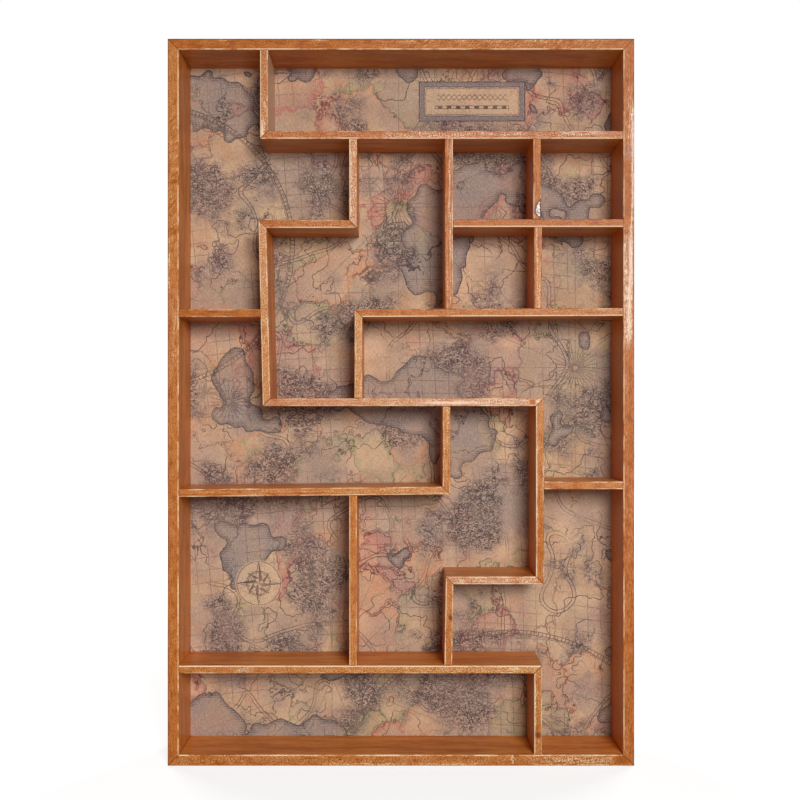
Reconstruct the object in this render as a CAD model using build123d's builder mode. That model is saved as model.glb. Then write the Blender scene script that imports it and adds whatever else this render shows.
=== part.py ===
from build123d import *
from dataclasses import dataclass
import os

os.makedirs("parts", exist_ok=True)

# Compartment wall shelf. A mitred frame holds a plywood panel with a printed sheet in its
# groove, and thin dividers, flush with the frame's front, part it into thirteen compartments
# on a grid of five columns and eight rows. Nothing moves.
# Millimetres. The origin is under the middle of the shelf, at its base. X runs to the right as
# seen from the front, Y to the back and Z up.

# Frame and dividers
frame_thickness = 9.2
frame_depth = 50.0
frame_arris = 1.0
divider_thickness = 6.5
divider_arris = 0.8

# Grid: clear size of the cells
cell_width = 67.0
middle_cell_width = 72.6
cell_height = 67.0
row_count = 8

# How far single dividers stand off the grid, since the shelf was put together by hand:
# uprights to the right at their top and foot, shelves upwards at their left and right ends
upright_1b_top_shift = -1.3
upright_1b_foot_shift = 2.1
upright_2b_shift = 4.4
upright_3b_shift = -2.0
upright_3c_top_shift = 0.6
upright_3c_foot_shift = -0.6
upright_4a_shift = -0.8
upright_4c_shift = 1.5
shelf_2b_shift = 0.8
shelf_3b_right_shift = 1.0
shelf_5a_left_shift = -1.5
shelf_5a_right_shift = 0.7
shelf_5b_shift = 4.9

# Panel and printed sheet, in a groove round the frame
panel_thickness = 3.0
print_thickness = 0.5
recess_depth = 5.0
groove_depth = 3.5
groove_slack = 0.2
panel_edge_clearance = 0.5

# Headless nails, sunk below the face and filled over
nail_radius = 0.6
nail_length = 22.0
nail_cover = 1.0
nail_clearance = 0.05
first_nail_setback = 9.0
nail_pitch = 16.0

# Headed pins that hold the panel to the dividers
pin_radius = 0.6
pin_length = 16.0
pin_head_radius = 1.4
pin_head_thickness = 0.4
pin_spacing = 60.0

# Keyhole hanger plates, let in flush at the back of the top board: the inset is from the
# shelf's side to the plate's middle
hanger_inset = 42.5
plate_width = 32.0
plate_height = 29.0
plate_thickness = 1.2
plate_corner_radius = 3.0
plate_top_margin = 1.3
plate_clearance = 0.2
keyhole_radius = 4.75
keyhole_slot_width = 4.6
keyhole_drop = 21.0
keyhole_slot_rise = 7.0

# Countersunk screws of the hanger plates
screw_spacing = 22.0
screw_drop = 4.3
screw_radius = 1.1
screw_length = 12.0
screw_head_radius = 2.1
screw_head_height = 1.0
screw_tip_length = 2.5
screw_slot_width = 0.6
screw_slot_depth = 0.5

# What follows from them, seen from the front
column_widths = [cell_width, cell_width, middle_cell_width, cell_width, cell_width]
column_count = len(column_widths)
inner_width = sum(column_widths) + (column_count - 1) * divider_thickness
inner_height = row_count * cell_height + (row_count - 1) * divider_thickness
overall_width = inner_width + 2 * frame_thickness
overall_height = inner_height + 2 * frame_thickness

# And in depth
front_y = -frame_depth / 2
back_y = frame_depth / 2
groove_width = panel_thickness + print_thickness + groove_slack
print_y = back_y - recess_depth - groove_width
panel_y = print_y + print_thickness
divider_depth = print_y - front_y
panel_width = inner_width + 2 * (groove_depth - panel_edge_clearance)
panel_height = inner_height + 2 * (groove_depth - panel_edge_clearance)
mid_height = overall_height / 2

# The grid's lines: the frame's boards are the first and last of each, the dividers lie between
column_x = [-(inner_width + frame_thickness) / 2]
left_face = -inner_width / 2
for width in column_widths[:-1]:
    column_x.append(left_face + width + divider_thickness / 2)
    left_face += width + divider_thickness
column_x.append((inner_width + frame_thickness) / 2)

top_line = overall_height - frame_thickness / 2
row_pitch = cell_height + divider_thickness
first_row_z = overall_height - frame_thickness - cell_height - divider_thickness / 2
row_z = [top_line] + [first_row_z - row * row_pitch for row in range(row_count - 1)]
row_z.append(frame_thickness / 2)


@dataclass
class Board:
    """A straight board in the front view: its centre line, its thickness, and the boards that
    its start and its end meet. In the front view, a point's X is across and its Y is up."""

    start: Vector
    end: Vector
    thickness: float
    meets: tuple


def upright(column, top_row, foot_row, meets, top_shift=0.0, foot_shift=0.0):
    top = Vector(column_x[column] + top_shift, row_z[top_row])
    foot = Vector(column_x[column] + foot_shift, row_z[foot_row])
    return Board(top, foot, divider_thickness, meets)


def shelf(row, left_column, right_column, meets, left_shift=0.0, right_shift=0.0):
    left = Vector(column_x[left_column], row_z[row] + left_shift)
    right = Vector(column_x[right_column], row_z[row] + right_shift)
    return Board(left, right, divider_thickness, meets)


frame_boards = {
    "frame_top": shelf(0, 0, column_count, ("frame_left", "frame_right")),
    "frame_bottom": shelf(row_count, 0, column_count, ("frame_left", "frame_right")),
    "frame_left": upright(0, 0, row_count, ("frame_top", "frame_bottom")),
    "frame_right": upright(column_count, 0, row_count, ("frame_top", "frame_bottom")),
}
for frame_board in frame_boards.values():
    frame_board.thickness = frame_thickness

dividers = {
    "upright_1a": upright(1, 0, 1, ("frame_top", "shelf_1")),
    "upright_1b": upright(
        1, 2, 4, ("shelf_2a", "shelf_4"), upright_1b_top_shift, upright_1b_foot_shift
    ),
    "upright_2a": upright(2, 1, 2, ("shelf_1", "shelf_2a")),
    "upright_2b": upright(2, 3, 4, ("shelf_3b", "shelf_4"), upright_2b_shift, upright_2b_shift),
    "upright_2c": upright(2, 5, 7, ("shelf_5a", "shelf_7")),
    "upright_3a": upright(3, 1, 3, ("shelf_1", "shelf_3b")),
    "upright_3b": upright(3, 4, 5, ("shelf_4", "shelf_5a"), upright_3b_shift, upright_3b_shift),
    "upright_3c": upright(
        3, 6, 7, ("shelf_6", "shelf_7"), upright_3c_top_shift, upright_3c_foot_shift
    ),
    "upright_4a": upright(4, 1, 2, ("shelf_1", "shelf_2b"), upright_4a_shift, upright_4a_shift),
    "upright_4b": upright(4, 2, 3, ("shelf_2b", "shelf_3b")),
    "upright_4c": upright(4, 4, 6, ("shelf_4", "shelf_6"), upright_4c_shift, upright_4c_shift),
    "upright_4d": upright(4, 7, 8, ("shelf_7", "frame_bottom")),
    "shelf_1": shelf(1, 1, 5, ("upright_1a", "frame_right")),
    "shelf_2a": shelf(2, 1, 2, ("upright_1b", "upright_2a")),
    "shelf_2b": shelf(2, 3, 5, ("upright_3a", "frame_right"), shelf_2b_shift, shelf_2b_shift),
    "shelf_3a": shelf(3, 0, 1, ("frame_left", "upright_1b")),
    "shelf_3b": shelf(3, 2, 5, ("upright_2b", "frame_right"), 0.0, shelf_3b_right_shift),
    "shelf_4": shelf(4, 1, 4, ("upright_1b", "upright_4c")),
    "shelf_5a": shelf(
        5, 0, 3, ("frame_left", "upright_3b"), shelf_5a_left_shift, shelf_5a_right_shift
    ),
    "shelf_5b": shelf(5, 4, 5, ("upright_4c", "frame_right"), shelf_5b_shift, shelf_5b_shift),
    "shelf_6": shelf(6, 3, 4, ("upright_3c", "upright_4c")),
    "shelf_7": shelf(7, 0, 4, ("frame_left", "upright_4d")),
}

boards = frame_boards | dividers

# Under shelf_2b the upright above is in the way of a nail, so this end is only glued
glued_ends = [("upright_4b", "shelf_2b")]


def is_mitre(name, met_name):
    """Two boards that end on each other are mitred, and a board that ends on another's side
    is butted."""
    return name in boards[met_name].meets


def side_line(board, offset):
    """The line along a board, offset to the left of its centre line: a point and a direction."""
    along = (board.end - board.start).normalized()
    return board.start + Vector(-along.Y, along.X) * offset, along


def crossing(line, other_line):
    point, along = line
    other_point, other_along = other_line
    scale = along.cross(other_along).Z
    return point + along * ((other_point - point).cross(other_along).Z / scale)


def middle(board):
    return (board.start + board.end) / 2


def facing_side(met, board):
    """Which side of the met board the other lies on: 1 for its left, -1 for its right."""
    along = met.end - met.start
    return 1 if along.cross(middle(board) - met.start).Z > 0 else -1


def end_cut(name, met_name):
    """The line along which a board is cut where it meets another: the mitre or the other's face."""
    board, met = boards[name], boards[met_name]
    if not is_mitre(name, met_name):
        return side_line(met, facing_side(met, board) * met.thickness / 2)
    corner = crossing(side_line(board, 0), side_line(met, 0))
    inwards = (middle(board) - corner).normalized() + (middle(met) - corner).normalized()
    return corner, inwards


def outline(name):
    board = boards[name]
    start_cut, end_cut_line = [end_cut(name, met_name) for met_name in board.meets]
    left = side_line(board, board.thickness / 2)
    right = side_line(board, -board.thickness / 2)
    return [
        crossing(right, start_cut),
        crossing(right, end_cut_line),
        crossing(left, end_cut_line),
        crossing(left, start_cut),
    ]


def front_plane(y):
    """A plane that faces the viewer, with X to the right and its own Y up."""
    return Plane(origin=(0, y, 0), x_dir=(1, 0, 0), z_dir=(0, -1, 0))


def nail_places(name, met_name):
    """Where the nails start that go through the met board into the end of this one."""
    board, met = boards[name], boards[met_name]
    cover_offset = -facing_side(met, board) * (met.thickness / 2 - nail_cover)
    head = crossing(side_line(board, 0), side_line(met, cover_offset))
    into_board = (middle(board) - head).normalized()
    return [
        Plane(
            origin=(head.X, front_y + setback, head.Y),
            z_dir=(into_board.X, 0, into_board.Y),
        )
        for setback in (first_nail_setback, first_nail_setback + nail_pitch)
    ]


def is_nailed(name, met_name):
    """A mitre is nailed once, through the upright into the shelf."""
    nailed_from_there = is_mitre(name, met_name) and "upright" in name
    return not nailed_from_there and (name, met_name) not in glued_ends


def pin_places(board):
    """Points along a divider's rear edge, evenly spaced, where the panel is pinned to it."""
    length = (board.end - board.start).length
    count = max(1, round(length / pin_spacing))
    steps = [(index + 0.5) / count for index in range(count)]
    points = [board.start + (board.end - board.start) * step for step in steps]
    return [
        Plane(origin=(point.X, panel_y + panel_thickness, point.Y), z_dir=(0, -1, 0))
        for point in points
    ]


# Nails by the group that they belong to, and by the boards that they pass through
corner_nails = []
frame_nails = []
divider_nails = []
nails_through = {name: [] for name in boards}

for name in ("frame_top", "frame_bottom"):
    for met_name in boards[name].meets:
        places = nail_places(name, met_name)
        corner_nails += places
        nails_through[name] += places
        nails_through[met_name] += places

for name, board in dividers.items():
    for met_name in board.meets:
        if is_nailed(name, met_name):
            places = nail_places(name, met_name)
            group = frame_nails if met_name in frame_boards else divider_nails
            group += places
            nails_through[name] += places
            nails_through[met_name] += places

panel_pins = {name: pin_places(board) for name, board in dividers.items()}
all_panel_pins = [place for places in panel_pins.values() for place in places]

# The keyhole plates hang from the top board's rear edge
from_start = (Align.CENTER, Align.CENTER, Align.MIN)
plate_top_z = overall_height - plate_top_margin
screw_z = overall_height - screw_drop
keyhole_z = overall_height - keyhole_drop
hanger_reach = overall_width / 2 - hanger_inset
hanger_x = {"hanger_plate_left": -hanger_reach, "hanger_plate_right": hanger_reach}
screw_x = [x + side * screw_spacing / 2 for x in hanger_x.values() for side in (-1, 1)]


def cut_nail_holes(name):
    with Locations(*nails_through[name]):
        Cylinder(
            nail_radius + nail_clearance, nail_length, align=from_start, mode=Mode.SUBTRACT
        )


def front_arrises(part):
    """The two long edges of a board's front face."""
    return part.faces().sort_by(Axis.Y)[0].edges().sort_by(SortBy.LENGTH)[-2:]


# Frame: four mitred boards with a groove for the panel
for name, board in frame_boards.items():
    with BuildPart() as frame_piece:
        with BuildSketch(front_plane(front_y)):
            with BuildLine():
                Polyline(*outline(name), close=True)
            make_face()
        extrude(amount=-frame_depth)
        back_arris = frame_piece.faces().sort_by(Axis.Y)[-1].edges().sort_by(SortBy.LENGTH)[-1:]
        fillet(front_arrises(frame_piece) + back_arris, frame_arris)
        with BuildSketch(front_plane(print_y)):
            with Locations((0, mid_height)):
                Rectangle(inner_width + 2 * groove_depth, inner_height + 2 * groove_depth)
        extrude(amount=-groove_width, mode=Mode.SUBTRACT)
        cut_nail_holes(name)
        if name == "frame_top":
            notch_height = plate_height + 2 * plate_clearance
            with BuildSketch(front_plane(back_y)):
                with Locations(*[(x, plate_top_z + plate_clearance) for x in hanger_x.values()]):
                    Rectangle(
                        plate_width + 2 * plate_clearance,
                        notch_height,
                        align=(Align.CENTER, Align.MAX),
                    )
            extrude(amount=plate_thickness, mode=Mode.SUBTRACT)
            with Locations(*[Plane(origin=(x, back_y, screw_z), z_dir=(0, -1, 0)) for x in screw_x]):
                Cylinder(screw_radius, screw_length, align=from_start, mode=Mode.SUBTRACT)
    frame_piece.part.label = name
    export_step(frame_piece.part, f"parts/{name}.step")

# Dividers: thin boards, mitred where two end on each other and butted elsewhere
for name, board in dividers.items():
    with BuildPart() as divider:
        with BuildSketch(front_plane(front_y)):
            with BuildLine():
                Polyline(*outline(name), close=True)
            make_face()
        extrude(amount=-divider_depth)
        fillet(front_arrises(divider), divider_arris)
        cut_nail_holes(name)
        with Locations(*panel_pins[name]):
            Cylinder(
                pin_radius + nail_clearance, pin_length, align=from_start, mode=Mode.SUBTRACT
            )
    divider.part.label = name
    export_step(divider.part, f"parts/{name}.step")

# Plywood panel behind the compartments
with BuildPart() as back_panel:
    with BuildSketch(front_plane(panel_y)):
        with Locations((0, mid_height)):
            Rectangle(panel_width, panel_height)
    extrude(amount=-panel_thickness)
    with Locations(*all_panel_pins):
        Cylinder(pin_radius + nail_clearance, pin_length, align=from_start, mode=Mode.SUBTRACT)
back_panel.part.label = "back_panel"
export_step(back_panel.part, "parts/back_panel.step")

# Printed sheet, glued on the panel's front
with BuildPart() as printed_backing:
    with BuildSketch(front_plane(print_y)):
        with Locations((0, mid_height)):
            Rectangle(panel_width, panel_height)
    extrude(amount=-print_thickness)
    with Locations(*all_panel_pins):
        Cylinder(pin_radius + nail_clearance, pin_length, align=from_start, mode=Mode.SUBTRACT)
printed_backing.part.label = "printed_backing"
export_step(printed_backing.part, "parts/printed_backing.step")

# Headless nails, in three groups
for name, places in (
    ("corner_nails", corner_nails),
    ("frame_nails", frame_nails),
    ("divider_nails", divider_nails),
):
    with BuildPart() as nails:
        with Locations(*places):
            Cylinder(nail_radius, nail_length, align=from_start)
    nails.part.label = name
    export_step(nails.part, f"parts/{name}.step")

# Panel pins, with flat heads on the panel's rear face
with BuildPart() as pins:
    with Locations(*all_panel_pins):
        Cylinder(pin_radius, pin_length, align=from_start)
        Cylinder(
            pin_head_radius, pin_head_thickness, align=(Align.CENTER, Align.CENTER, Align.MAX)
        )
pins.part.label = "panel_pins"
export_step(pins.part, "parts/panel_pins.step")

# Keyhole plates
for name, x in hanger_x.items():
    with BuildPart() as plate:
        with BuildSketch(front_plane(back_y)):
            with Locations((x, plate_top_z)):
                RectangleRounded(
                    plate_width,
                    plate_height,
                    plate_corner_radius,
                    align=(Align.CENTER, Align.MAX),
                )
            with Locations((x, keyhole_z)):
                Circle(keyhole_radius, mode=Mode.SUBTRACT)
                Rectangle(
                    keyhole_slot_width,
                    keyhole_slot_rise,
                    align=(Align.CENTER, Align.MIN),
                    mode=Mode.SUBTRACT,
                )
            with Locations((x, keyhole_z + keyhole_slot_rise)):
                Circle(keyhole_slot_width / 2, mode=Mode.SUBTRACT)
        extrude(amount=plate_thickness)
        for side in (-1, 1):
            screw_place = (x + side * screw_spacing / 2, back_y, screw_z)
            with Locations(Plane(origin=screw_place, z_dir=(0, -1, 0))):
                Cylinder(screw_radius, plate_thickness, align=from_start, mode=Mode.SUBTRACT)
                Cone(
                    screw_head_radius,
                    screw_radius,
                    screw_head_height,
                    align=from_start,
                    mode=Mode.SUBTRACT,
                )
    plate.part.label = name
    export_step(plate.part, f"parts/{name}.step")

# Countersunk screws, with a straight slot and a pointed end
with BuildPart() as hanger_screws:
    shank_length = screw_length - screw_tip_length
    for x in screw_x:
        with Locations(Plane(origin=(x, back_y, screw_z), z_dir=(0, -1, 0))):
            Cone(screw_head_radius, screw_radius, screw_head_height, align=from_start)
            Cylinder(screw_radius, shank_length, align=from_start)
            Box(
                2 * screw_head_radius,
                screw_slot_width,
                screw_slot_depth,
                align=from_start,
                mode=Mode.SUBTRACT,
            )
        with Locations(Plane(origin=(x, back_y - shank_length, screw_z), z_dir=(0, -1, 0))):
            Cone(screw_radius, 0, screw_tip_length, align=from_start)
hanger_screws.part.label = "hanger_screws"
export_step(hanger_screws.part, "parts/hanger_screws.step")
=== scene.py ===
import math
from collections import Counter
from dataclasses import dataclass

import bpy
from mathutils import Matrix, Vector


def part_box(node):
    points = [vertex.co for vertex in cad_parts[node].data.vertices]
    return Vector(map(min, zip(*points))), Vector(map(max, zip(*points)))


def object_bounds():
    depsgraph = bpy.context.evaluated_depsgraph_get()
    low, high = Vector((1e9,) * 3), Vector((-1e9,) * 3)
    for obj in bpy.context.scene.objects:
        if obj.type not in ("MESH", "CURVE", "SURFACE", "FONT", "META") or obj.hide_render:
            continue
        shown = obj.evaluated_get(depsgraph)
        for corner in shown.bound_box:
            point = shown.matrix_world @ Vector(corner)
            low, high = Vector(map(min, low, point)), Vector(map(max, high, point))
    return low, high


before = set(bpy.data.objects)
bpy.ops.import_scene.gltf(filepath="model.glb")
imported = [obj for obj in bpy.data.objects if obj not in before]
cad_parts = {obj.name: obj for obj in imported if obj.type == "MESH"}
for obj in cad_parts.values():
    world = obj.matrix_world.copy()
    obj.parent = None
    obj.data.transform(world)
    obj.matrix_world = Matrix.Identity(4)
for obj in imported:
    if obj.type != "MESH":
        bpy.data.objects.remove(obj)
cad_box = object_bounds()

# Compartment wall shelf: stained and worn wooden boards, a printed canvas behind them, and a plain
# plywood back. Metres; X runs to the right seen from the front, Y to the back and Z up.
# The materials work in millimetres, in the same frame.

METRE = 1000.0
front_y = cad_box[0].y
shelf_height = cad_box[1].z

# Camera: square on to the shelf, which fills most of the picture's height
image_side_px = 800
sensor_width = 36.0
focal_px = 871.0
camera_distance = 0.718
camera_offset_x = -0.0008
camera_height = 0.3018

# Light: how much of white each source gives a card in the plane of the shelf's front or back, and
# where the lamps stand. The rear ones stand on both sides
key_share = 0.93
rear_share = 0.38
ambient_share = 0.115
wide_beam = math.radians(130)
key_place = (0.38, -1.4, 0.68)
key_aim = (-0.4, 0.0, -0.2)
key_size = 0.5
rear_aside = 1.7
rear_behind = 1.6
rear_height = 1.5
rear_size = 1.2

# Floor
floor_grey = (0.34, 0.34, 0.34, 1.0)
floor_reach = 4.0
floor_corners = 64


class Value:
    """An output in a node tree that can be added, multiplied and so on like a number."""

    def __init__(self, tree, socket):
        self.tree = tree
        self.socket = socket

    def __add__(self, other):
        return math_node("ADD", self, other)

    def __sub__(self, other):
        return math_node("SUBTRACT", self, other)

    def __rsub__(self, other):
        return math_node("SUBTRACT", other, self)

    def __mul__(self, other):
        return math_node("MULTIPLY", self, other)

    def __truediv__(self, other):
        return math_node("DIVIDE", self, other)

    __radd__ = __add__
    __rmul__ = __mul__


def plug(socket, source):
    """Links a value to a socket, or sets a number, colour or vector on it."""
    if isinstance(source, Value):
        source.tree.links.new(source.socket, socket)
    else:
        socket.default_value = source


def math_node(operation, *sources):
    tree = next(source.tree for source in sources if isinstance(source, Value))
    node = tree.nodes.new("ShaderNodeMath")
    node.operation = operation
    for socket, source in zip(node.inputs, sources):
        plug(socket, source)
    return Value(tree, node.outputs[0])


def vector_node(operation, *sources):
    tree = next(source.tree for source in sources if isinstance(source, Value))
    node = tree.nodes.new("ShaderNodeVectorMath")
    node.operation = operation
    for socket, source in zip(node.inputs, sources):
        plug(socket, source)
    output = "Value" if operation in ("DOT_PRODUCT", "LENGTH", "DISTANCE") else "Vector"
    return Value(tree, node.outputs[output])


def absolute(value):
    return math_node("ABSOLUTE", value)


def greatest(first, *others):
    for other in others:
        first = math_node("MAXIMUM", first, other)
    return first


def least(first, *others):
    for other in others:
        first = math_node("MINIMUM", first, other)
    return first


def rise(value, low, high):
    """0 up to low and 1 from high on, with a smooth slope between them."""
    node = value.tree.nodes.new("ShaderNodeMapRange")
    node.interpolation_type = "SMOOTHSTEP"
    for name, source in (("Value", value), ("From Min", low), ("From Max", high)):
        plug(node.inputs[name], source)
    return Value(value.tree, node.outputs["Result"])


def fall(value, low, high):
    """1 up to low and 0 from high on."""
    return 1.0 - rise(value, low, high)


def blend(factor, first, second):
    """The first colour where the factor is 0 and the second where it is 1."""
    node = factor.tree.nodes.new("ShaderNodeMix")
    node.data_type = "RGBA"
    factor_in, first_in, second_in, colour_out = 0, 6, 7, 2
    for index, source in ((factor_in, factor), (first_in, first), (second_in, second)):
        plug(node.inputs[index], source)
    return Value(factor.tree, node.outputs[colour_out])


def separate(vector):
    node = vector.tree.nodes.new("ShaderNodeSeparateXYZ")
    plug(node.inputs[0], vector)
    return [Value(vector.tree, output) for output in node.outputs]


def combine(x, y, z):
    tree = next(source.tree for source in (x, y, z) if isinstance(source, Value))
    node = tree.nodes.new("ShaderNodeCombineXYZ")
    for socket, source in zip(node.inputs, (x, y, z)):
        plug(socket, source)
    return Value(tree, node.outputs[0])


def noise(place, grain, detail=2.0, roughness=0.5, distortion=0.0, output="Fac"):
    """Soft noise about 0.5 in the middle, with features about as large as the grain, in mm."""
    node = place.tree.nodes.new("ShaderNodeTexNoise")
    for name, source in (
        ("Vector", place),
        ("Scale", 1.0 / grain),
        ("Detail", detail),
        ("Roughness", roughness),
        ("Distortion", distortion),
    ):
        plug(node.inputs[name], source)
    return Value(place.tree, node.outputs[output])


def cells(place, size, feature="F1", output="Distance", randomness=1.0):
    """Cells of about the given size, in mm."""
    node = place.tree.nodes.new("ShaderNodeTexVoronoi")
    node.feature = feature
    plug(node.inputs["Vector"], place)
    plug(node.inputs["Scale"], 1.0 / size)
    plug(node.inputs["Randomness"], randomness)
    return Value(place.tree, node.outputs[output])


def colour(red, green, blue):
    """A screen colour, 0 to 255, as the linear colour that a shader takes."""
    shares = [channel / 255 for channel in (red, green, blue)]
    linear = [s / 12.92 if s <= 0.04045 else ((s + 0.055) / 1.055) ** 2.4 for s in shares]
    return (*linear, 1.0)


def new_material(name, **constants):
    """A material with its shader, and the numbers that are the same all over it."""
    material = bpy.data.materials.new(name)
    material.use_nodes = True
    tree = material.node_tree
    shader = tree.nodes["Principled BSDF"]
    for setting, number in constants.items():
        socket_name = setting.replace("_", " ").title().replace("Ior", "IOR")
        shader.inputs[socket_name].default_value = number
    return material, tree, shader


def place_in_mm(tree):
    node = tree.nodes.new("ShaderNodeTexCoord")
    place = vector_node("SCALE", Value(tree, node.outputs["Object"]))
    place.socket.node.inputs["Scale"].default_value = METRE
    return place, Value(tree, node.outputs["Normal"])


def finish_surface(shader, base, roughness, height, relief_mm):
    """Puts colour, roughness and a bump of the given depth on the shader."""
    tree = base.tree
    bump = tree.nodes.new("ShaderNodeBump")
    bump.inputs["Distance"].default_value = relief_mm / METRE
    bump.inputs["Strength"].default_value = 1.0
    plug(bump.inputs["Height"], height)
    plug(shader.inputs["Base Color"], base)
    plug(shader.inputs["Roughness"], roughness)
    tree.links.new(bump.outputs["Normal"], shader.inputs["Normal"])


@dataclass
class BoardLines:
    """A board as its front face shows it, in mm: the directions along and across it, how far its
    centre line is from the origin across, half its thickness, where it starts and how long it is,
    and the planes of its two ends."""

    along: Vector
    across: Vector
    centre: float
    half: float
    start: float
    length: float
    ends: list


def front_edges(node):
    """The four edges round a board's flat front face, as pairs of points in mm."""
    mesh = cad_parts[node].data
    flat = 1e-6
    uses = Counter()
    for face in mesh.polygons:
        corners = [mesh.vertices[index].co for index in face.vertices]
        if all(corner.y - front_y < flat for corner in corners):
            points = [(round(c.x * METRE, 3), round(c.z * METRE, 3)) for c in corners]
            for pair in zip(points, points[1:] + points[:1]):
                uses[frozenset(pair)] += 1
    rim = [tuple(pair) for pair, count in uses.items() if count == 1]
    edges = [[Vector((x, 0, z)) for x, z in pair] for pair in rim]
    return sorted(edges, key=lambda edge: (edge[0] - edge[1]).length)


def board_lines(node):
    first_end, second_end, side, longest = front_edges(node)
    low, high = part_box(node)
    along = (longest[1] - longest[0]).normalized()
    if along.x + along.z < 0:
        along = -along
    upright = high.z - low.z > high.x - low.x
    across = Vector((along.z, 0, -along.x)) if upright else Vector((-along.z, 0, along.x))
    offsets = [across.dot(edge[0]) for edge in (side, longest)]
    centre = sum(offsets) / 2
    middle = along * along.dot((low + high) / 2 * METRE) + across * centre
    ends = []
    for edge in (first_end, second_end):
        cut = (edge[1] - edge[0]).normalized()
        inwards = Vector((-cut.z, 0, cut.x))
        if inwards.dot(middle - edge[0]) < 0:
            inwards = -inwards
        ends.append((inwards, inwards.dot(edge[0])))
    half = abs(offsets[0] - offsets[1]) / 2 + arris_mm(node)
    start = min(along.dot(point) for point in longest)
    length = (longest[1] - longest[0]).length
    return BoardLines(along, across, centre, half, start, length, ends)


def arris_mm(node):
    """How far the rounding of a board's two front edges reaches."""
    frame_arris, divider_arris = 1.0, 0.8
    return frame_arris if node.startswith("frame") else divider_arris


def separate_boxes(node):
    """The lowest and highest corner, in mm, of each separate solid in a node's mesh."""
    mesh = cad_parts[node].data
    points = [tuple(round(c * METRE, 3) for c in vertex.co) for vertex in mesh.vertices]
    groups = {point: {point} for point in points}
    for edge in mesh.edges:
        first, second = [groups[points[index]] for index in edge.vertices]
        if first is not second:
            first |= second
            groups.update((point, first) for point in second)
    solids = {id(group): group for group in groups.values()}.values()
    return [(Vector(map(min, zip(*solid))), Vector(map(max, zip(*solid)))) for solid in solids]


def hole_places():
    """Just beyond both ends of every nail, where one end was filled over after nailing."""
    nail_cover = 1.0
    places = []
    for node in ("corner_nails", "frame_nails", "divider_nails"):
        for low, high in separate_boxes(node):
            lengthwise = max(range(3), key=lambda axis: high[axis] - low[axis])
            for end in (low[lengthwise] - nail_cover, high[lengthwise] + nail_cover):
                place = (low + high) / 2
                place[lengthwise] = end
                places.append(place)
    return places


def holes_on(node):
    """The filled holes that lie on a board's surface."""
    near = 0.3
    low, high = [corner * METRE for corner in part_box(node)]
    depths = [min(*(place - low), *(high - place)) for place in all_holes]
    return [place for place, depth in zip(all_holes, depths) if abs(depth) < near]


all_holes = hole_places()


# Stage: a pale floor that turns white away from the shelf, a white world, one soft lamp in front on
# the right, a little higher than the shelf, and two behind, for the back, the top and the sides


def sees_white(tree):
    """1 for rays that come from the camera, a gloss or glass, so that they meet a white studio."""
    path = tree.nodes.new("ShaderNodeLightPath")
    names = ("Is Camera Ray", "Is Glossy Ray", "Is Transmission Ray")
    return greatest(*[Value(tree, path.outputs[name]) for name in names])


def make_world():
    world = bpy.data.worlds.new("studio")
    world.use_nodes = True
    tree = world.node_tree
    background = tree.nodes["Background"]
    background.inputs["Color"].default_value = (1.0, 1.0, 1.0, 1.0)
    plug(background.inputs["Strength"], ambient_share + sees_white(tree) * (1.0 - ambient_share))
    bpy.context.scene.world = world


def make_floor():
    mesh = bpy.data.meshes.new("floor")
    turns = [2 * math.pi * corner / floor_corners for corner in range(floor_corners)]
    rim = [(floor_reach * math.cos(turn), floor_reach * math.sin(turn), 0.0) for turn in turns]
    mesh.from_pydata(rim, [], [range(floor_corners)])
    floor = bpy.data.objects.new("floor", mesh)
    bpy.context.scene.collection.objects.link(floor)
    material, tree, shader = new_material("floor_pale", roughness=0.9, specular_ior_level=0.0)
    shader.inputs["Base Color"].default_value = floor_grey
    place, _ = place_in_mm(tree)
    glow = tree.nodes.new("ShaderNodeEmission")
    near_glow = 0.72
    near_mm, far_mm = 250.0, 1100.0
    away = rise(vector_node("LENGTH", place), near_mm, far_mm)
    plug(glow.inputs["Strength"], sees_white(tree) * (near_glow + away * (1.0 - near_glow)))
    both = tree.nodes.new("ShaderNodeAddShader")
    tree.links.new(shader.outputs[0], both.inputs[0])
    tree.links.new(glow.outputs[0], both.inputs[1])
    tree.links.new(both.outputs[0], tree.nodes["Material Output"].inputs["Surface"])
    mesh.materials.append(material)


def make_lamp(name, place, aim, side, share, reflected=True):
    """A square soft box with a wide beam. It gives the middle of the shelf its share of white.
    The front one is aimed beside the shelf, on the far side, so that the near side isn't brighter."""
    lamp = bpy.data.lights.new(name, "AREA")
    lamp.size = side
    lamp.spread = wide_beam
    axis = (Vector(aim) - Vector(place)).normalized()
    ray = Vector((0, front_y, shelf_height / 2)) - Vector(place)
    off_axis = axis.angle(ray)
    half_beam = wide_beam / 2
    gain = (math.tan(half_beam) - math.tan(off_axis)) / (math.tan(half_beam) - half_beam)
    slant = abs(ray.normalized().y)
    lamp.energy = share * (math.pi * ray.length) ** 2 / (slant * math.cos(off_axis) * gain)
    holder = bpy.data.objects.new(name, lamp)
    holder.location = place
    holder.rotation_mode = "QUATERNION"
    holder.rotation_quaternion = (-axis).to_track_quat("Z", "Y")
    holder.visible_camera = False
    holder.visible_glossy = reflected
    bpy.context.scene.collection.objects.link(holder)


def make_camera():
    camera = bpy.data.cameras.new("camera")
    camera.sensor_width = sensor_width
    camera.lens = focal_px * sensor_width / image_side_px
    camera.clip_start = 0.01
    holder = bpy.data.objects.new("camera", camera)
    holder.location = (camera_offset_x, front_y - camera_distance, camera_height)
    holder.rotation_euler = (math.pi / 2, 0, 0)
    bpy.context.scene.collection.objects.link(holder)
    bpy.context.scene.camera = holder


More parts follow.
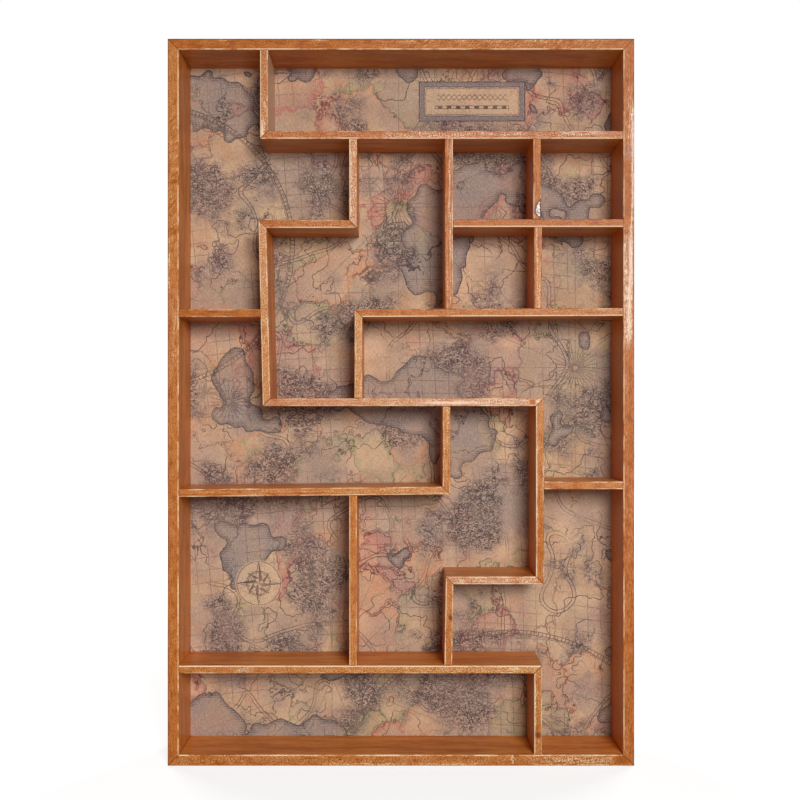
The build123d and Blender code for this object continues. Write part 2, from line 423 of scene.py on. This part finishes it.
bpy.context.scene.view_settings.view_transform = "Standard"
make_camera()
make_world()
make_floor()
make_lamp("key", key_place, key_aim, key_size, key_share)
shelf_middle = (0.0, 0.0, shelf_height / 2)
for name, side in (("rear_left", -1), ("rear_right", 1)):
    place = (side * rear_aside, rear_behind, rear_height)
    make_lamp(name, place, shelf_middle, rear_size, rear_share, reflected=False)


# Wood. Edges is the wear along a board's two front edges, left and right of an upright or foot and
# top of a shelf; where it is negative, that edge gets a dark line of painted shade instead. Fade is
# how far the face is faded, at its left or lower end and at the other. Pink is how far it fades to
# pink and not to gold. Streaky, speckled and fleck_length are the strength of its lengthwise streaks
# and of its fine speckles, and how many times longer than wide those are. Slanted is where the
# figure runs slantwise, from and to along the board, and how strongly, and the last key is how
# strongly the board's right side is laid pale as a painted reflection of the print.
board_looks = {
    "frame_top": dict(edges=(0.8, -1.0), fade=(0.02, 0.12), slanted=(-10, 170, 1.1)),
    "frame_bottom": dict(edges=(0.2, 0.75), fade=(0.26, 0.26), speckled=1.8),
    "frame_left": dict(edges=(-0.4, 0.7), fade=(0.1, 0.34), slanted=(425, 545, 1.0), speckled=0.75),
    "frame_right": dict(edges=(0.75, -0.3), fade=(0.08, 0.15), pink=0.8, fleck_length=4.0),
    "upright_1a": dict(edges=(1.1, 0.6), fade=(0.5, 0.35), pink=0.6, speckled=1.4, right_side_painted_reflection=0.75),
    "upright_1b": dict(edges=(0.9, 0.7), fade=(0.5, 0.62), pink=0.45),
    "upright_2a": dict(edges=(1.0, 0.3), fade=(0.65, 0.7), pink=0.8),
    "upright_2b": dict(edges=(0.7, 0.5), fade=(0.6, 0.6)),
    "upright_2c": dict(edges=(0.8, 0.5), fade=(0.34, 0.17)),
    "upright_3a": dict(edges=(0.5, 0.8), fade=(0.24, 0.08), streaky=1.2, pink=1.0),
    "upright_3b": dict(edges=(0.6, 0.4), fade=(0.4, 0.5), streaky=0.5),
    "upright_3c": dict(edges=(0.9, 0.6), fade=(0.2, 0.34), speckled=1.4),
    "upright_4a": dict(edges=(0.6, 0.4), fade=(-0.04, 0.1), streaky=0.5, pink=0.0, speckled=1.4),
    "upright_4b": dict(edges=(0.5, 0.5), fade=(0.44, 0.33), streaky=1.1, pink=0.5),
    "upright_4c": dict(edges=(1.0, 0.5), fade=(0.02, 0.4)),
    "upright_4d": dict(edges=(1.1, 0.7), fade=(0.26, 0.36), speckled=1.5),
    "shelf_1": dict(edges=(0.9, 0.5), fade=(0.2, 0.32), pink=1.1, speckled=1.6),
    "shelf_2a": dict(edges=(0.9, 0.5), fade=(0.12, 0.22), pink=0.6, speckled=1.6),
    "shelf_2b": dict(edges=(1.3, 0.4), fade=(0.0, 0.02), pink=0.4, speckled=1.6),
    "shelf_3a": dict(edges=(0.5, 0.5), fade=(-0.1, -0.05)),
    "shelf_3b": dict(edges=(1.1, 0.5), fade=(0.08, 0.3), speckled=1.6),
    "shelf_4": dict(edges=(0.7, 0.6), fade=(0.45, 0.85), pink=0.85, speckled=0.8),
    "shelf_5a": dict(edges=(0.8, 0.6), fade=(0.15, 0.5), streaky=0.5),
    "shelf_5b": dict(edges=(0.7, 0.7), fade=(0.25, 0.3), pink=0.45),
    "shelf_6": dict(edges=(1.0, 0.9), fade=(0.5, 0.55), pink=0.9),
    "shelf_7": dict(edges=(0.5, 1.1), fade=(0.27, 0.64), speckled=1.3),
}

# Worn places on the front: from and to, in mm along the board, the place across it from its
# centre line, the width, and the strength, which is negative where the stain is darker instead
worn_places = {
    "frame_right": [
        (352, 405, -0.6, 4.6, 1.5),
        (395, 445, 1.4, 2.4, 1.6),
        (402, 445, -2.6, 2.2, 0.7),
        (448, 545, 3.2, 1.8, 1.5),
        (505, 560, 0.6, 2.2, 0.4),
        (446, 500, -1.4, 5.0, -0.4),
        (250, 345, 1.5, 2.0, -0.3),
    ],
    "frame_left": [(330, 380, 1.2, 2.6, 0.3), (390, 432, -3.4, 1.2, 0.9)],
    "frame_bottom": [
        (118, 176, 0.5, 4.0, 0.5),
        (91, 93, 1.0, 5.5, 1.0),
        (-60, 60, -3.2, 1.4, 0.4),
        (116, 178, -4.2, 1.5, 1.3),
        (176, 187, 0.5, 5.0, -0.9),
    ],
    "frame_top": [(-152, -140, 3.4, 1.6, 0.8), (-72, -62, 3.4, 1.4, 0.7), (-30, 170, 2.6, 2.2, 0.3)],
    "upright_1a": [(504, 532, -1.2, 2.2, 0.9), (544, 548, 0.2, 1.8, 1.3)],
    "upright_2a": [(440, 515, -2.2, 1.2, 0.6)],
    "upright_3a": [(380, 470, 1.0, 0.7, 0.6), (480, 515, 0.2, 1.6, 0.3)],
    "upright_4c": [(155, 300, -2.6, 1.0, 0.5)],
    "upright_4d": [(30, 80, -2.6, 1.2, 0.9)],
    "shelf_1": [(-15, 60, 0.0, 2.8, 0.35), (55, 100, 0.8, 1.8, 0.4), (130, 166, 1.0, 1.8, 0.5)],
    "shelf_4": [(60, 104, 0.4, 2.6, 0.3), (106, 111, 0.4, 2.8, -1.3)],
    "shelf_6": [(40, 112, -0.4, 3.0, 0.3)],
    "shelf_7": [(90, 97, 0.6, 2.4, 1.0), (-134, -124, -0.4, 2.2, 1.2)],
}

# Grey scuffs on the front: from and to along the board, the place across it, and the width
scuffs = {
    "frame_right": [(500, 513, -0.5, 4.5), (402, 436, -0.6, 1.6)],
    "shelf_4": [(94, 99, 0.0, 2.4)],
    "shelf_7": [(-133, -125, -0.6, 1.8)],
}

# Smooth pale smears on the front: from and to along the board, the place across it, and the width
smears = {
    "frame_right": [(396, 434, 1.5, 2.2), (352, 396, 0.2, 1.7), (462, 540, 3.6, 1.2)],
    "shelf_4": [(20, 62, -0.4, 1.6), (111, 114, 0.6, 1.6)],
    "upright_1a": [(510, 530, -1.2, 1.2)],
}

# Knots on the front: the place along the board and across it, and the radius, in mm
front_knots = {
    "upright_3c": [(122.8, 1.2, 2.0)],
    "upright_4d": [(25.6, 0.0, 2.6)],
    "frame_bottom": [(-50.0, 1.0, 1.0)],
}

# A chip in one upright's right edge, with a painted reflection: a white glint laid in it and a
# painted shadow round it. The place along where it is widest, how far it reaches down and up from
# there, and how far in from the edge
chip_glints = {"upright_4a": (457.4, 6.0, 11.2, 5.5)}

dark_stain_and_shade = colour(110, 50, 14)
stain = colour(182, 100, 28)
worn_gold = colour(212, 160, 96)
worn_pink = colour(210, 162, 134)
worn_edge = colour(238, 184, 134)
scuff_grey = colour(158, 124, 114)
smear_pale = colour(240, 206, 182)
bare_wood = colour(246, 216, 178)
inner_dark = colour(170, 90, 32)
inner_light = colour(208, 128, 54)
inner_painted_bounce = colour(226, 122, 44)
print_reflection_pale = colour(190, 162, 132)
knot_brown = colour(98, 40, 20)
putty = colour(206, 146, 92)
glint_white = colour(246, 242, 238)
glint_grey = colour(124, 108, 102)
chip_shadow_brown = colour(84, 30, 4)
seam_brown = colour(120, 58, 6)

# How far along each board lies in the grain beyond the one before it, in mm
grain_shift = 731.0


def patch(along, across, start, end, centre, width):
    """1 inside a long soft patch of the front, and 0 away from it."""
    soft = min(12.0, (end - start) / 3)
    lengthwise = rise(along, start - soft, start + soft) * fall(along, end - soft, end + soft)
    return lengthwise * fall(absolute(across - centre), width * 0.35, width)


def stained_wood(node, number):
    """The finish of one board. The number moves it to another place in the grain."""
    lines = board_lines(node)
    looks = board_looks[node]
    material, tree, shader = new_material("wood_" + node, specular_ior_level=0.25)
    place, normal = place_in_mm(tree)
    across = vector_node("DOT_PRODUCT", place, lines.across) - lines.centre
    along = vector_node("DOT_PRODUCT", place, lines.along)
    depth = separate(place)[1] - front_y * METRE
    shifted = along + grain_shift * (number + 1)

    # Grain: long streaks, broad bands, blotches of stain, short pores and shorter flecks
    streaks = noise(combine(across, depth, shifted / 12), 0.9, 3.0, 0.6)
    bands = noise(combine(across, depth, shifted / 9), 9.0, 2.0, 0.5, 0.6)
    blotches = noise(combine(across, depth, shifted / 1.6), 6.0, 4.0, 0.62)
    pores = noise(combine(across, depth, shifted / 2.2), 0.8, 2.0, 0.6)
    flecks = noise(combine(across, depth, shifted / looks.get("fleck_length", 1.3)), 0.9, 1.0, 0.5)

    # Front face: how far its stain is rubbed away
    to_viewer = rise(separate(normal)[1] * -1.0, 0.35, 0.9)
    fade_low, fade_high = looks["fade"]
    faded = (along - lines.start) * ((fade_high - fade_low) / lines.length) + (fade_low - 0.08)
    faded = faded + (blotches - 0.5) * 1.1 + (streaks - 0.5) * 0.8
    if "streaky" in looks:
        figure = noise(combine(across + (bands - 0.5) * 3.0, depth, shifted / 34), 1.5, 2.0, 0.6)
        faded = faded + (figure - 0.5) * (3.0 * looks["streaky"])
    if "slanted" in looks:
        start, end, strength = looks["slanted"]
        slanting = combine((along + across) / 4, depth, along - across + grain_shift * number)
        slant = noise(slanting, 2.6, 2.0, 0.6)
        where = rise(along, start - 15, start + 15) * fall(along, end - 15, end + 15)
        faded = faded + where * (slant - 0.5) * (2.2 * strength)
    ragged = rise(blotches * 0.45 + flecks * 0.25 + streaks * 1.1, 0.7, 0.98)
    for *place_and_size, strength in worn_places.get(node, []):
        faded = faded + patch(along, across, *place_and_size) * ragged * strength
    speckled = looks.get("speckled", 1.0)
    faded = faded + (flecks - 0.5) * (rise(faded, 0.0, 0.7) * 0.9 + 0.9) * speckled
    pink = looks.get("pink", 0.2) + (bands - 0.5) * 1.5
    front = blend(faded, stain, blend(pink, worn_gold, worn_pink))
    crumbs = rise(flecks + (streaks - 0.5) * 1.2, 0.5, 0.64) * rise(faded, 0.45, 1.1)
    front = blend(crumbs * (0.75 * min(1.0, speckled)), front, bare_wood)
    deep_stain = fall(blotches * 0.5 + streaks * 0.6 + faded * 0.25, 0.36, 0.58)
    front = blend(deep_stain * 0.6, front, dark_stain_and_shade)
    front = blend(rise(pores, 0.53, 0.66) * (rise(faded, 0.2, 1.0) * 0.3 + 0.62), front, dark_stain_and_shade)
    front = blend(fall(flecks, 0.37, 0.47) * (0.32 * speckled), front, dark_stain_and_shade)
    for smear in smears.get(node, []):
        whitened = patch(along, across, *smear) * fall(streaks, 0.5, 0.66)
        front = blend(whitened * 0.8, front, smear_pale)
    for scuff in scuffs.get(node, []):
        marks = patch(along, across, *scuff) * rise(streaks + (flecks - 0.5) * 0.6, 0.42, 0.58)
        front = blend(marks * 0.75, front, scuff_grey)

    # Sides, which are smoother, with faint lengthwise lines and a few pores
    side_tone = (bands - 0.5) * 1.6 + (streaks - 0.5) * 1.6 + 0.5
    sides = blend(rise(side_tone, 0.1, 0.9), inner_dark, inner_light)
    side_pores = noise(combine(across, depth, shifted / 7), 0.6, 2.0, 0.6)
    to_right = separate(normal)[0]
    # Painted bounce light: side faces turned to the left are laid warmer and brighter, as if lit by
    # light bounced between the boards
    sides = blend(rise(to_right * -1.0, 0.3, 0.8) * 0.6, sides, inner_painted_bounce)
    # Painted reflection: the right side face is laid pale grey-beige, as if it reflected the print
    # beside it
    if "right_side_painted_reflection" in looks:
        sides = blend(rise(to_right, 0.3, 0.8) * looks["right_side_painted_reflection"], sides, print_reflection_pale)
    sides = blend(rise(side_pores, 0.58, 0.72) * 0.4, sides, dark_stain_and_shade)
    holes = holes_on(node)
    if holes:
        distances = [vector_node("DISTANCE", place, tuple(hole)) for hole in holes]
        nearest = least(*distances) + (flecks - 0.5) * 0.6
        sides = blend(fall(nearest, 1.0, 1.5) * 0.5, sides, dark_stain_and_shade)
        sides = blend(fall(nearest, 0.8, 1.1) * 0.6, sides, putty)
    base = blend(to_viewer, sides, front)

    # Front edges: worn pale in broken lines, or, where their value is negative, a broken dark line of
    # painted shade
    low_edge, high_edge = looks["edges"]
    edge_wear_and_shade = rise(across, -0.5, 0.5) * (high_edge - low_edge) + low_edge
    rim = rise(absolute(across), lines.half - 1.15, lines.half - 0.65) * fall(depth, 0.4, 1.1)
    broken = noise(combine(across / 2, depth / 2, shifted / 5), 1.5, 4.0, 0.65)
    edge_wear_and_shade = edge_wear_and_shade + (noise(combine(across / 9, depth, shifted), 46.0, 2.0, 0.6) - 0.5) * 2.4
    worn_rim = blend(rise(edge_wear_and_shade, 0.2, 1.2), worn_edge, bare_wood)
    base = blend(rim * rise(broken + edge_wear_and_shade * 0.5, 0.66, 1.04) * 0.92, base, worn_rim)
    # Painted shade: a broken dark line along the outer rounding of edges whose value is negative,
    # where the face turns away from the light
    rim_painted_shade = rise(absolute(across), lines.half - 1.4, lines.half - 0.7) * fall(depth, 0.9, 1.6)
    base = blend(rim_painted_shade * rise(broken - edge_wear_and_shade * 0.5, 0.5, 0.9) * 0.85, base, dark_stain_and_shade)

    for knot_along, knot_across, radius in front_knots.get(node, []):
        offset = combine(across - knot_across, 0.0, (along - knot_along) / 1.3)
        reach = vector_node("LENGTH", offset) + (streaks - 0.5) * 1.6
        base = blend(fall(reach, radius * 0.5, radius * 1.2) * to_viewer * 0.85, base, knot_brown)
    # Painted reflection: the chip is laid white and grey as a glint, with a dark painted shadow round
    # it
    if node in chip_glints:
        widest, reach_down, reach_up, reach_in = chip_glints[node]
        from_edge = (lines.half - across) / reach_in
        lengthwise = greatest((along - widest) / reach_up, (widest - along) / reach_down)
        bulge = lengthwise * lengthwise + from_edge + (flecks - 0.5) * 0.3
        glint = fall(bulge, 0.7, 0.78) * fall(depth, 2.0, 3.0) * rise(lines.half - across, 0.7, 1.1)
        rim_shadow = fall(bulge, 0.96, 1.08) * fall(depth, 2.0, 3.0)
        base = blend(rim_shadow * 0.85, base, chip_shadow_brown)
        crumbled = noise(place, 1.5, 2.0, 0.6)
        glint_colour = blend(rise(crumbled, 0.47, 0.57), glint_white, glint_grey)
        base = blend(glint, base, glint_colour)

    # Thin brown seams where the ends meet the other boards
    for inwards, start in lines.ends:
        from_end = vector_node("DOT_PRODUCT", place, inwards) - start + (broken - 0.5) * 0.35
        base = blend(fall(from_end, 0.2, 0.6) * (to_viewer * 0.32 + 0.6), base, seam_brown)

    roughness = 0.34 + to_viewer * 0.14 + (pores - 0.5) * 0.25 + rim * 0.12
    height = streaks * 0.5 + pores * 0.6 + to_viewer * blotches * 0.8
    finish_surface(shader, base, roughness, height, 0.12)
    return material


for number, node in enumerate(board_looks):
    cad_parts[node].data.materials[0] = stained_wood(node, number)


# Printed canvas: an old-looking chart of imaginary coasts, on a coarse weave. Its inks and washes:
paper = colour(208, 174, 142)
paper_dark = colour(182, 146, 116)
hill_grey = colour(150, 132, 126)
sea_grey = colour(146, 130, 123)
sea_edge = colour(104, 97, 94)
rose_tint = colour(182, 96, 92)
orange_tint = colour(204, 140, 104)
olive_tint = colour(156, 150, 106)
border_grey = colour(112, 106, 114)
thread_light = colour(232, 208, 186)
thread_dark = colour(112, 82, 68)
ink = colour(52, 38, 48)

# Its ornaments, by the millimetre: where they are across and up, how far they reach, and how many
# rays the fans and long lines have
ray_stars = [((-2.0, 470.0), 27.0, 32), ((152.0, 330.0), 26.0, 32), ((-150.0, 300.0), 22.0, 24)]
long_lines = [((-2.0, 470.0), 150.0, 16), ((152.0, 330.0), 120.0, 16), ((-60.0, 60.0), 150.0, 16)]
compass_place, compass_reach = (-124.0, 142.0), 19.0
scale_place, scale_half_size = (62.0, 562.0), (46.0, 17.0)
great_circles = [((96.0, -52.0), 150.0), ((-216.0, 436.0), 120.0)]


def contour(field, place, level):
    """The signed distance, in mm, from the line where a field crosses a level."""
    step = 0.35
    here = field(place)
    slope_x = field(vector_node("ADD", place, (step, 0.0, 0.0))) - here
    slope_z = field(vector_node("ADD", place, (0.0, 0.0, step))) - here
    slope = math_node("SQRT", slope_x * slope_x + slope_z * slope_z + 1e-7) / step
    return (here - level) / slope


def stroke(distance, half_width):
    """A pen line of that half width round distance 0."""
    return fall(absolute(distance), half_width * 0.5, half_width * 1.5)


def polar(place, centre):
    """Distance from a centre in the picture, and the angle from straight up."""
    x, _, z = separate(vector_node("SUBTRACT", place, (centre[0], 0.0, centre[1])))
    return math_node("SQRT", x * x + z * z), math_node("ARCTAN2", x, z)


def rays(place, centre, reach, count):
    """Thin lines that fan out evenly from a centre and fade away."""
    distance, angle = polar(place, centre)
    from_ray = math_node("PINGPONG", angle * (count / (2 * math.pi)), 0.5)
    line = stroke(from_ray * distance * (2 * math.pi / count), 0.28)
    return line * rise(distance, 1.0, 3.0) * fall(distance, reach * 0.6, reach) * 0.8


def ticked_circle(place, centre, radius):
    """Two thin circles, close together, with short ticks between them."""
    width, tick_gap = 3.2, 3.4
    distance, angle = polar(place, centre)
    beyond = distance - radius
    from_tick = math_node("PINGPONG", angle * (radius / tick_gap), 0.5) * tick_gap
    between = rise(beyond, 0.0, 0.1) * fall(beyond, width - 0.1, width)
    circles = greatest(stroke(beyond, 0.3), stroke(beyond - width, 0.3), stroke(beyond + 1.2, 0.18))
    return greatest(circles, stroke(from_tick, 0.3) * between) * 0.85


def star(place, centre, points, reach, waist):
    """A star of pointed leaves, one half of each leaf dark: its dark halves and its outline."""
    distance, angle = polar(place, centre)
    turn = math_node("WRAP", angle, math.pi / points, -math.pi / points)
    beside = math_node("SINE", turn) * distance
    ahead = math_node("COSINE", turn) * distance
    valley = waist * math.cos(math.pi / points)
    slope = waist * math.sin(math.pi / points) / (reach - valley)
    inside = (reach - ahead) * slope - absolute(beside)
    dark_half = rise(inside, -0.1, 0.2) * rise(beside, -0.1, 0.1)
    return greatest(dark_half * 0.85, stroke(inside, 0.2))


def turned(place, centre, angle):
    """The place turned about a centre in the picture."""
    node = place.tree.nodes.new("ShaderNodeVectorRotate")
    node.rotation_type = "Y_AXIS"
    plug(node.inputs["Vector"], place)
    node.inputs["Center"].default_value = (centre[0], 0.0, centre[1])
    node.inputs["Angle"].default_value = angle
    return Value(place.tree, node.outputs[0])


def compass(place):
    distance, _ = polar(place, compass_place)
    rings = [stroke(distance - compass_reach * share, 0.25) for share in (0.5, 0.56, 1.0)]
    tilted = turned(place, compass_place, math.pi / 4)
    long_star = star(place, compass_place, 4, compass_reach, compass_reach * 0.22)
    short_star = star(tilted, compass_place, 4, compass_reach * 0.66, compass_reach * 0.24)
    return greatest(long_star, short_star * rise(distance, 4.0, 4.4), *rings)


def scale_panel(place):
    """A panel in a wide grey border, with a bar of alternate blocks and a garland of small scrolls:
    its inked parts, its border and its field."""
    x, _, z = separate(vector_node("SUBTRACT", place, (scale_place[0], 0.0, scale_place[1])))
    half_width, half_height = scale_half_size
    border_width = 4.4
    edge = greatest(absolute(x) - half_width, absolute(z) - half_height)
    inner = edge + border_width
    border = fall(edge, -0.2, 0.2) * rise(inner, -0.2, 0.2)
    beads = rise(math_node("SINE", (x + z) * 2.6) * math_node("SINE", (x - z) * 2.6), 0.35, 0.7)
    beads = beads * stroke(inner - border_width / 2, 1.1)
    bar_half_width, bar_half_height, bar_drop, block = half_width - 14.0, 1.3, 5.0, 4.0
    bar_edge = greatest(absolute(x) - bar_half_width, absolute(z + bar_drop) - bar_half_height)
    blocks = rise(math_node("PINGPONG", x + bar_half_width, block), block / 2 - 0.1, block / 2 + 0.1)
    blocks = blocks * fall(bar_edge, -0.1, 0.1)
    wave = math_node("SINE", x * (2 * math.pi / 9.0)) * 2.2
    taper = fall(absolute(x), bar_half_width - 3.0, bar_half_width)
    garland = greatest(stroke(z - 3.6 - wave, 0.35), stroke(z - 3.6 + wave, 0.35)) * taper
    ruled = greatest(stroke(edge, 0.4), stroke(inner, 0.35), stroke(inner + 1.4, 0.22))
    inked = greatest(ruled, stroke(bar_edge, 0.22), blocks * 0.9, garland * 0.9, beads * 0.9)
    return inked, border, fall(edge, -0.2, 0.2)


def printed_canvas():
    material, tree, shader = new_material("chart_canvas", specular_ior_level=0.06)
    place, _ = place_in_mm(tree)
    flat = vector_node("MULTIPLY", place, (1.0, 0.0, 1.0))
    wobble = vector_node("SUBTRACT", noise(flat, 4.0, 3.0, 0.6, output="Color"), (0.5, 0.5, 0.5))
    drawn = vector_node("ADD", flat, vector_node("MULTIPLY", wobble, (1.5, 0.0, 1.5)))
    x, _, z = separate(drawn)
    fine = noise(flat, 0.9, 2.0, 0.6)
    stains = noise(flat, 34.0, 4.0, 0.6)

    def moved(point, along, up):
        return vector_node("ADD", point, (along, 0.0, up))

    # Paper, with soft washes and with regions that are tinted more strongly at their borders
    chart = blend(rise(stains, 0.3, 0.7), paper_dark, paper)
    washes = ((rose_tint, 40.0, 25.0), (olive_tint, -90.0, 60.0), (orange_tint, 210.0, -35.0))
    for tint, along, up in washes:
        wash = rise(noise(moved(flat, along, up), 26.0, 3.0, 0.6), 0.54, 0.74)
        chart = blend(wash * 0.4, chart, tint)
    region_size = 46.0
    sway = vector_node("SUBTRACT", noise(flat, 26.0, 3.0, 0.6, output="Color"), (0.5, 0.5, 0.5))
    loose = vector_node("ADD", drawn, vector_node("MULTIPLY", sway, (60.0, 0.0, 60.0)))
    from_border = cells(loose, region_size, "DISTANCE_TO_EDGE") * region_size
    pick = separate(cells(loose, region_size, output="Color"))[0]
    for low, tint in ((0.2, olive_tint), (0.45, orange_tint), (0.7, rose_tint)):
        chosen = rise(pick, low, low + 0.01) * fall(pick, low + 0.16, low + 0.17)
        chart = blend(chosen * (0.14 + fall(from_border, 0.5, 6.0) * 0.5), chart, tint)
    border = stroke(from_border - 0.7, 0.35) * rise(pick, 0.2, 0.21) * 0.8

    # A grey veil over parts of it
    veil = rise(noise(moved(flat, 500.0, 120.0), 60.0, 3.0, 0.5), 0.42, 0.6)
    chart = blend(veil * 0.45, chart, hill_grey)

    # Seas, darker along the coast, with fine water lines
    from_coast = contour(lambda point: noise(moved(point, 310.0, 140.0), 96.0, 3.0, 0.5), drawn, 0.42)
    coast = stroke(from_coast, 0.45)
    sea = fall(from_coast, -0.5, 0.5)
    offshore = from_coast * -1.0
    chart = blend(sea * rise(stains, 0.1, 0.7) * 0.95, chart, sea_grey)
    chart = blend(sea * fall(offshore, 0.3, 4.5) * 0.6, chart, sea_edge)
    ripple = math_node("SINE", z * (2 * math.pi / 1.9))
    water_lines = sea * fall(offshore, 3.0, 7.5) * rise(ripple, 0.3, 0.9) * 0.45
    land = 1.0 - sea

    # Hill country, drawn as dense wavy strokes over a grey wash, thinning out at its borders
    from_hills = contour(lambda point: noise(moved(point, 60.0, 860.0), 74.0, 4.0, 0.5), drawn, 0.53)
    hilly = rise(from_hills + (fine - 0.5) * 4.0, -9.0, 5.0)
    chart = blend(hilly * (1.0 - sea * 0.6) * 0.5, chart, hill_grey)
    strokes = noise(vector_node("MULTIPLY", drawn, (0.8, 1.0, 1.25)), 3.4, 2.0, 0.6, 1.2)
    hills = fall(absolute(strokes - 0.5) - hilly * 0.05, -0.02, 0.04) * hilly * land * 0.85

    # Rivers, and long double lines for roads
    from_river = contour(lambda point: noise(moved(point, 77.0, -240.0), 42.0, 3.0, 0.5), drawn, 0.5)
    from_road = contour(lambda point: noise(moved(point, -35.0, 410.0), 88.0, 1.0, 0.4), drawn, 0.47)
    roads = greatest(stroke(from_road, 0.35), stroke(from_road - 2.6, 0.3))
    paths = greatest(stroke(from_river, 0.36) * 0.85, roads * 0.8) * land

    # Dots for towns and shoals, in some places only
    dot_pick = separate(cells(flat, 5.5, output="Color"))[1]
    dots = fall(cells(flat, 5.5, randomness=0.8) * 5.5, 0.45, 0.75) * rise(dot_pick, 0.6, 0.62)
    dots = dots * rise(noise(moved(flat, 90.0, 90.0), 40.0, 1.0), 0.5, 0.56) * 0.8

    # A grid of faint lines, bowed a little, fans of rays, longer straight courses and great circles
    column_place = math_node("PINGPONG", x + z * 0.05 - x * z * 0.0002, 5.5)
    row_place = math_node("PINGPONG", z + x * x * 0.0004, 5.5)
    gridded = rise(noise(moved(flat, 400.0, 0.0), 58.0, 1.0), 0.46, 0.54)
    grid = greatest(stroke(column_place, 0.3), stroke(row_place, 0.3)) * gridded * 0.5
    fans = greatest(*[rays(drawn, *fan) for fan in ray_stars])
    courses = greatest(*[rays(drawn, *line) for line in long_lines]) * 0.6
    circles = greatest(*[ticked_circle(drawn, *circle) for circle in great_circles])

    # The drawing fades out in places. The compass and the scale panel lie over it
    faded = rise(noise(moved(flat, -220.0, 70.0), 48.0, 3.0, 0.55), 0.36, 0.5)
    rubbed = rise(stains + (fine - 0.5) * 0.5, 0.3, 0.55)
    lines = greatest(coast * 0.8, border * faded, water_lines, hills * faded)
    lines = greatest(lines, paths * faded, grid, dots, fans * 0.85, courses, circles)
    chart = blend(lines * (0.55 + rubbed * 0.45), chart, ink)
    distance, _ = polar(drawn, compass_place)
    panel, panel_border, panel_field = scale_panel(drawn)
    clear = greatest(fall(distance, compass_reach + 0.5, compass_reach + 2.0), panel_field)
    chart = blend(clear * 0.7, chart, paper)
    chart = blend(panel_border * 0.75, chart, border_grey)
    chart = blend(greatest(compass(drawn), panel) * (0.65 + rubbed * 0.3), chart, ink)

    # Weave: uneven threads both ways
    warp = noise(vector_node("MULTIPLY", flat, (1.0, 1.0, 0.3)), 0.85, 2.0, 0.7)
    weft = noise(vector_node("MULTIPLY", flat, (0.35, 1.0, 1.0)), 0.85, 2.0, 0.7)
    weave = (warp - 0.5) * 1.3 + (weft - 0.5) * 0.9 + (fine - 0.5) * 0.8
    chart = blend(rise(weave, 0.0, 0.45) * 0.42, chart, thread_light)
    chart = blend(fall(weave, -0.45, 0.0) * 0.5, chart, thread_dark)
    finish_surface(shader, chart, 0.88 + (fine - 0.5) * 0.1, weave, 0.12)
    return material


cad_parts["printed_backing"].data.materials[0] = printed_canvas()


# Plywood back
ply_dark = colour(186, 146, 104)
ply_light = colour(216, 182, 138)
ply_pore = colour(140, 98, 62)


def plywood():
    material, tree, shader = new_material("back_plywood", specular_ior_level=0.3)
    place, _ = place_in_mm(tree)
    x, y, z = separate(place)
    streaks = noise(combine(x, y, z / 22), 2.4, 4.0, 0.6)
    figure = noise(combine(x, y, z / 6), 34.0, 3.0, 0.5, 1.2)
    base = blend(rise(streaks * 0.6 + figure * 0.5, 0.35, 0.75), ply_dark, ply_light)
    pores = rise(noise(combine(x, y, z / 9), 0.7, 2.0, 0.6), 0.6, 0.72) * 0.35
    base = blend(pores, base, ply_pore)
    finish_surface(shader, base, 0.62 + (streaks - 0.5) * 0.2, streaks, 0.1)
    return material


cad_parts["back_panel"].data.materials[0] = plywood()


# Steel
rust_brown = colour(120, 76, 48)


def worn_steel(name, base_low, base_high, rust_share):
    """Steel with fine brushing, dull spots and a little rust."""
    material, tree, shader = new_material(name, metallic=1.0)
    place, _ = place_in_mm(tree)
    brushing = noise(vector_node("MULTIPLY", place, (0.12, 1.0, 1.0)), 0.3, 3.0, 0.6)
    spots = noise(place, 3.0, 4.0, 0.6)
    base = blend(rise(brushing * 0.5 + spots * 0.5, 0.3, 0.7), base_low, base_high)
    rust = rise(spots, 0.66 - rust_share, 0.82 - rust_share) * 0.7
    base = blend(rust, base, rust_brown)
    finish_surface(shader, base, 0.34 + rust * 0.4 + (brushing - 0.5) * 0.2, brushing + spots, 0.03)
    return material


zinc = worn_steel("hanger_zinc", colour(150, 148, 142), colour(196, 194, 188), 0.02)
pin_steel = worn_steel("pin_steel", colour(120, 118, 114), colour(172, 170, 166), 0.06)
for node in ("hanger_plate_left", "hanger_plate_right", "hanger_screws"):
    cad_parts[node].data.materials[0] = zinc
for node in ("corner_nails", "frame_nails", "divider_nails", "panel_pins"):
    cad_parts[node].data.materials[0] = pin_steel
